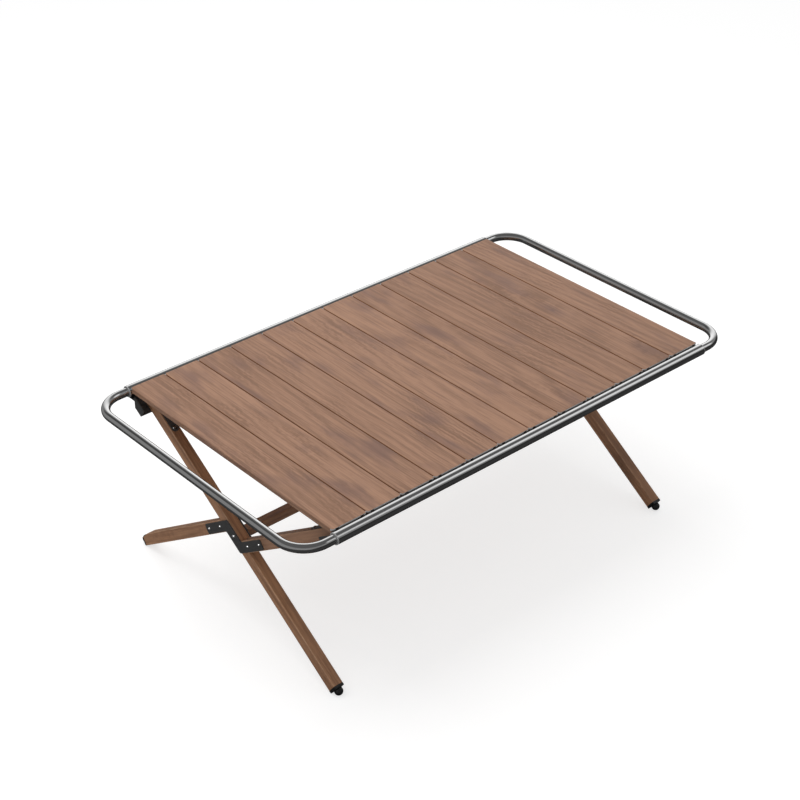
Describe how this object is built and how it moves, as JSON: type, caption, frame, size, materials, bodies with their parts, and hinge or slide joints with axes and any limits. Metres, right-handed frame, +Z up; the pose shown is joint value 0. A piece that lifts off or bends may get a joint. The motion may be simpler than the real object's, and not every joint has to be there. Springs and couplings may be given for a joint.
{
  "type": "roll top camp table",
  "caption": "Low camp table with a roll-up slatted wooden top on a steel rail frame with bent end tubes, carried by crossed folding legs on ball feet.",
  "frame": {"origin": "on the floor, under the middle of the whole table, feet included", "axes": "+X along the rails from the left end to the right end, +Y from the near rail to the far rail, +Z up"},
  "size_m": [1.205, 0.7366, 0.446],
  "materials": {
    "slat_wood": "satin walnut-brown stain",
    "leg_wood": "satin dark-brown stain",
    "tube_steel": "polished gunmetal",
    "rivet_steel": "bright",
    "black_steel": "black powder coat",
    "foot_rubber": "black, smooth",
    "black_plastic": "matte black",
    "cord": "black elastic cord"
  },
  "bodies": {
    "spine": {"stretcher": "leg_wood", "left_pivot_bolt": "rivet_steel", "right_pivot_bolt": "rivet_steel", "pivot_washers": "rivet_steel"},
    "left_leg_body": {"left_leg": "leg_wood", "far_left_strap": "black_steel", "far_left_strap_bolt": "black_steel", "near_left_foot_plate": "black_steel", "near_left_ball_foot": "foot_rubber"},
    "left_split_leg_body": {"left_split_leg_upper": "leg_wood", "left_split_leg_lower": "leg_wood", "left_outer_hinge_plate": "black_steel", "left_inner_hinge_plate": "black_steel", "left_plate_rivets": "rivet_steel", "near_left_strap": "black_steel", "near_left_strap_bolt": "black_steel", "far_left_foot_plate": "black_steel", "far_left_ball_foot": "foot_rubber"},
    "right_leg_body": {"right_leg": "leg_wood", "far_right_strap": "black_steel", "far_right_strap_bolt": "black_steel", "near_right_foot_plate": "black_steel", "near_right_ball_foot": "foot_rubber"},
    "right_split_leg_body": {"right_split_leg_upper": "leg_wood", "right_split_leg_lower": "leg_wood", "right_outer_hinge_plate": "black_steel", "right_inner_hinge_plate": "black_steel", "right_plate_rivets": "rivet_steel", "near_right_strap": "black_steel", "near_right_strap_bolt": "black_steel", "far_right_foot_plate": "black_steel", "far_right_ball_foot": "foot_rubber"},
    "top_frame": {"near_rail": "tube_steel", "far_rail": "tube_steel", "near_ledge": "black_steel", "far_ledge": "black_steel", "near_left_shoe": "black_steel", "near_right_shoe": "black_steel", "far_left_shoe": "black_steel", "far_right_shoe": "black_steel", "tube_stop_plugs": "black_plastic", "slat_01": "slat_wood", "left_cord_knots": "cord", "near_cord": "cord", "far_cord": "cord"},
    "left_tube_body": {"left_end_tube": "tube_steel"},
    "right_tube_body": {"right_end_tube": "tube_steel"},
    "mat_02": {"slat_02": "slat_wood"},
    "mat_03": {"slat_03": "slat_wood"},
    "mat_04": {"slat_04": "slat_wood"},
    "mat_05": {"slat_05": "slat_wood"},
    "mat_06": {"slat_06": "slat_wood"},
    "mat_07": {"slat_07": "slat_wood"},
    "mat_08": {"slat_08": "slat_wood"},
    "mat_09": {"slat_09": "slat_wood"},
    "mat_10": {"slat_10": "slat_wood"},
    "mat_11": {"slat_11": "slat_wood"},
    "mat_12": {"slat_12": "slat_wood", "right_cord_knots": "cord"}
  },
  "joints": [
    {"name": "top_lift", "type": "slide", "parent": "spine", "child": "top_frame", "axis": [0, 0, 1], "range_m": [0, 0.3078]},
    {"name": "left_leg_fold", "type": "hinge", "parent": "spine", "child": "left_leg_body", "pos_m": [-0.47225, 0.00242, 0.22161], "axis": [1, 0, 0], "range_deg": [0, 49]},
    {"name": "left_split_leg_fold", "type": "hinge", "parent": "spine", "child": "left_split_leg_body", "pos_m": [-0.47225, 0.00242, 0.22161], "axis": [1, 0, 0], "range_deg": [-49, 0]},
    {"name": "right_leg_fold", "type": "hinge", "parent": "spine", "child": "right_leg_body", "pos_m": [0.47225, 0.00242, 0.22161], "axis": [1, 0, 0], "range_deg": [0, 49]},
    {"name": "right_split_leg_fold", "type": "hinge", "parent": "spine", "child": "right_split_leg_body", "pos_m": [0.47225, 0.00242, 0.22161], "axis": [1, 0, 0], "range_deg": [-49, 0]},
    {"name": "left_tube_pull", "type": "slide", "parent": "top_frame", "child": "left_tube_body", "axis": [-1, 0, 0], "range_m": [0, 0.08]},
    {"name": "right_tube_pull", "type": "slide", "parent": "top_frame", "child": "right_tube_body", "axis": [1, 0, 0], "range_m": [0, 0.08]},
    {"name": "roll_01", "type": "hinge", "parent": "top_frame", "child": "mat_02", "pos_m": [-0.425, -0.02029, 0.446], "axis": [0, -1, 0], "range_deg": [0, 45], "deforming": ["near_cord", "far_cord"]},
    {"name": "roll_02", "type": "hinge", "parent": "mat_02", "child": "mat_03", "pos_m": [-0.34, -0.02029, 0.446], "axis": [0, -1, 0], "range_deg": [0, 45.4]},
    {"name": "roll_03", "type": "hinge", "parent": "mat_03", "child": "mat_04", "pos_m": [-0.255, -0.02029, 0.446], "axis": [0, -1, 0], "range_deg": [0, 46.6]},
    {"name": "roll_04", "type": "hinge", "parent": "mat_04", "child": "mat_05", "pos_m": [-0.17, -0.02029, 0.446], "axis": [0, -1, 0], "range_deg": [0, 48.6]},
    {"name": "roll_05", "type": "hinge", "parent": "mat_05", "child": "mat_06", "pos_m": [-0.085, -0.02029, 0.446], "axis": [0, -1, 0], "range_deg": [0, 51.4]},
    {"name": "roll_06", "type": "hinge", "parent": "mat_06", "child": "mat_07", "pos_m": [0, -0.02029, 0.446], "axis": [0, -1, 0], "range_deg": [0, 55]},
    {"name": "roll_07", "type": "hinge", "parent": "mat_07", "child": "mat_08", "pos_m": [0.085, -0.02029, 0.446], "axis": [0, -1, 0], "range_deg": [0, 59.4]},
    {"name": "roll_08", "type": "hinge", "parent": "mat_08", "child": "mat_09", "pos_m": [0.17, -0.02029, 0.446], "axis": [0, -1, 0], "range_deg": [0, 64.6]},
    {"name": "roll_09", "type": "hinge", "parent": "mat_09", "child": "mat_10", "pos_m": [0.255, -0.02029, 0.446], "axis": [0, -1, 0], "range_deg": [0, 70.6]},
    {"name": "roll_10", "type": "hinge", "parent": "mat_10", "child": "mat_11", "pos_m": [0.34, -0.02029, 0.446], "axis": [0, -1, 0], "range_deg": [0, 77.4]},
    {"name": "roll_11", "type": "hinge", "parent": "mat_11", "child": "mat_12", "pos_m": [0.425, -0.02029, 0.446], "axis": [0, -1, 0], "range_deg": [0, 85]}
  ],
  "couplings": [
    {"joint": "left_leg_fold", "follows": "top_lift", "rad_per_m": 2.7778},
    {"joint": "left_split_leg_fold", "follows": "top_lift", "rad_per_m": -2.7778},
    {"joint": "right_leg_fold", "follows": "top_lift", "rad_per_m": 2.7778},
    {"joint": "right_split_leg_fold", "follows": "top_lift", "rad_per_m": -2.7778}
  ]
}
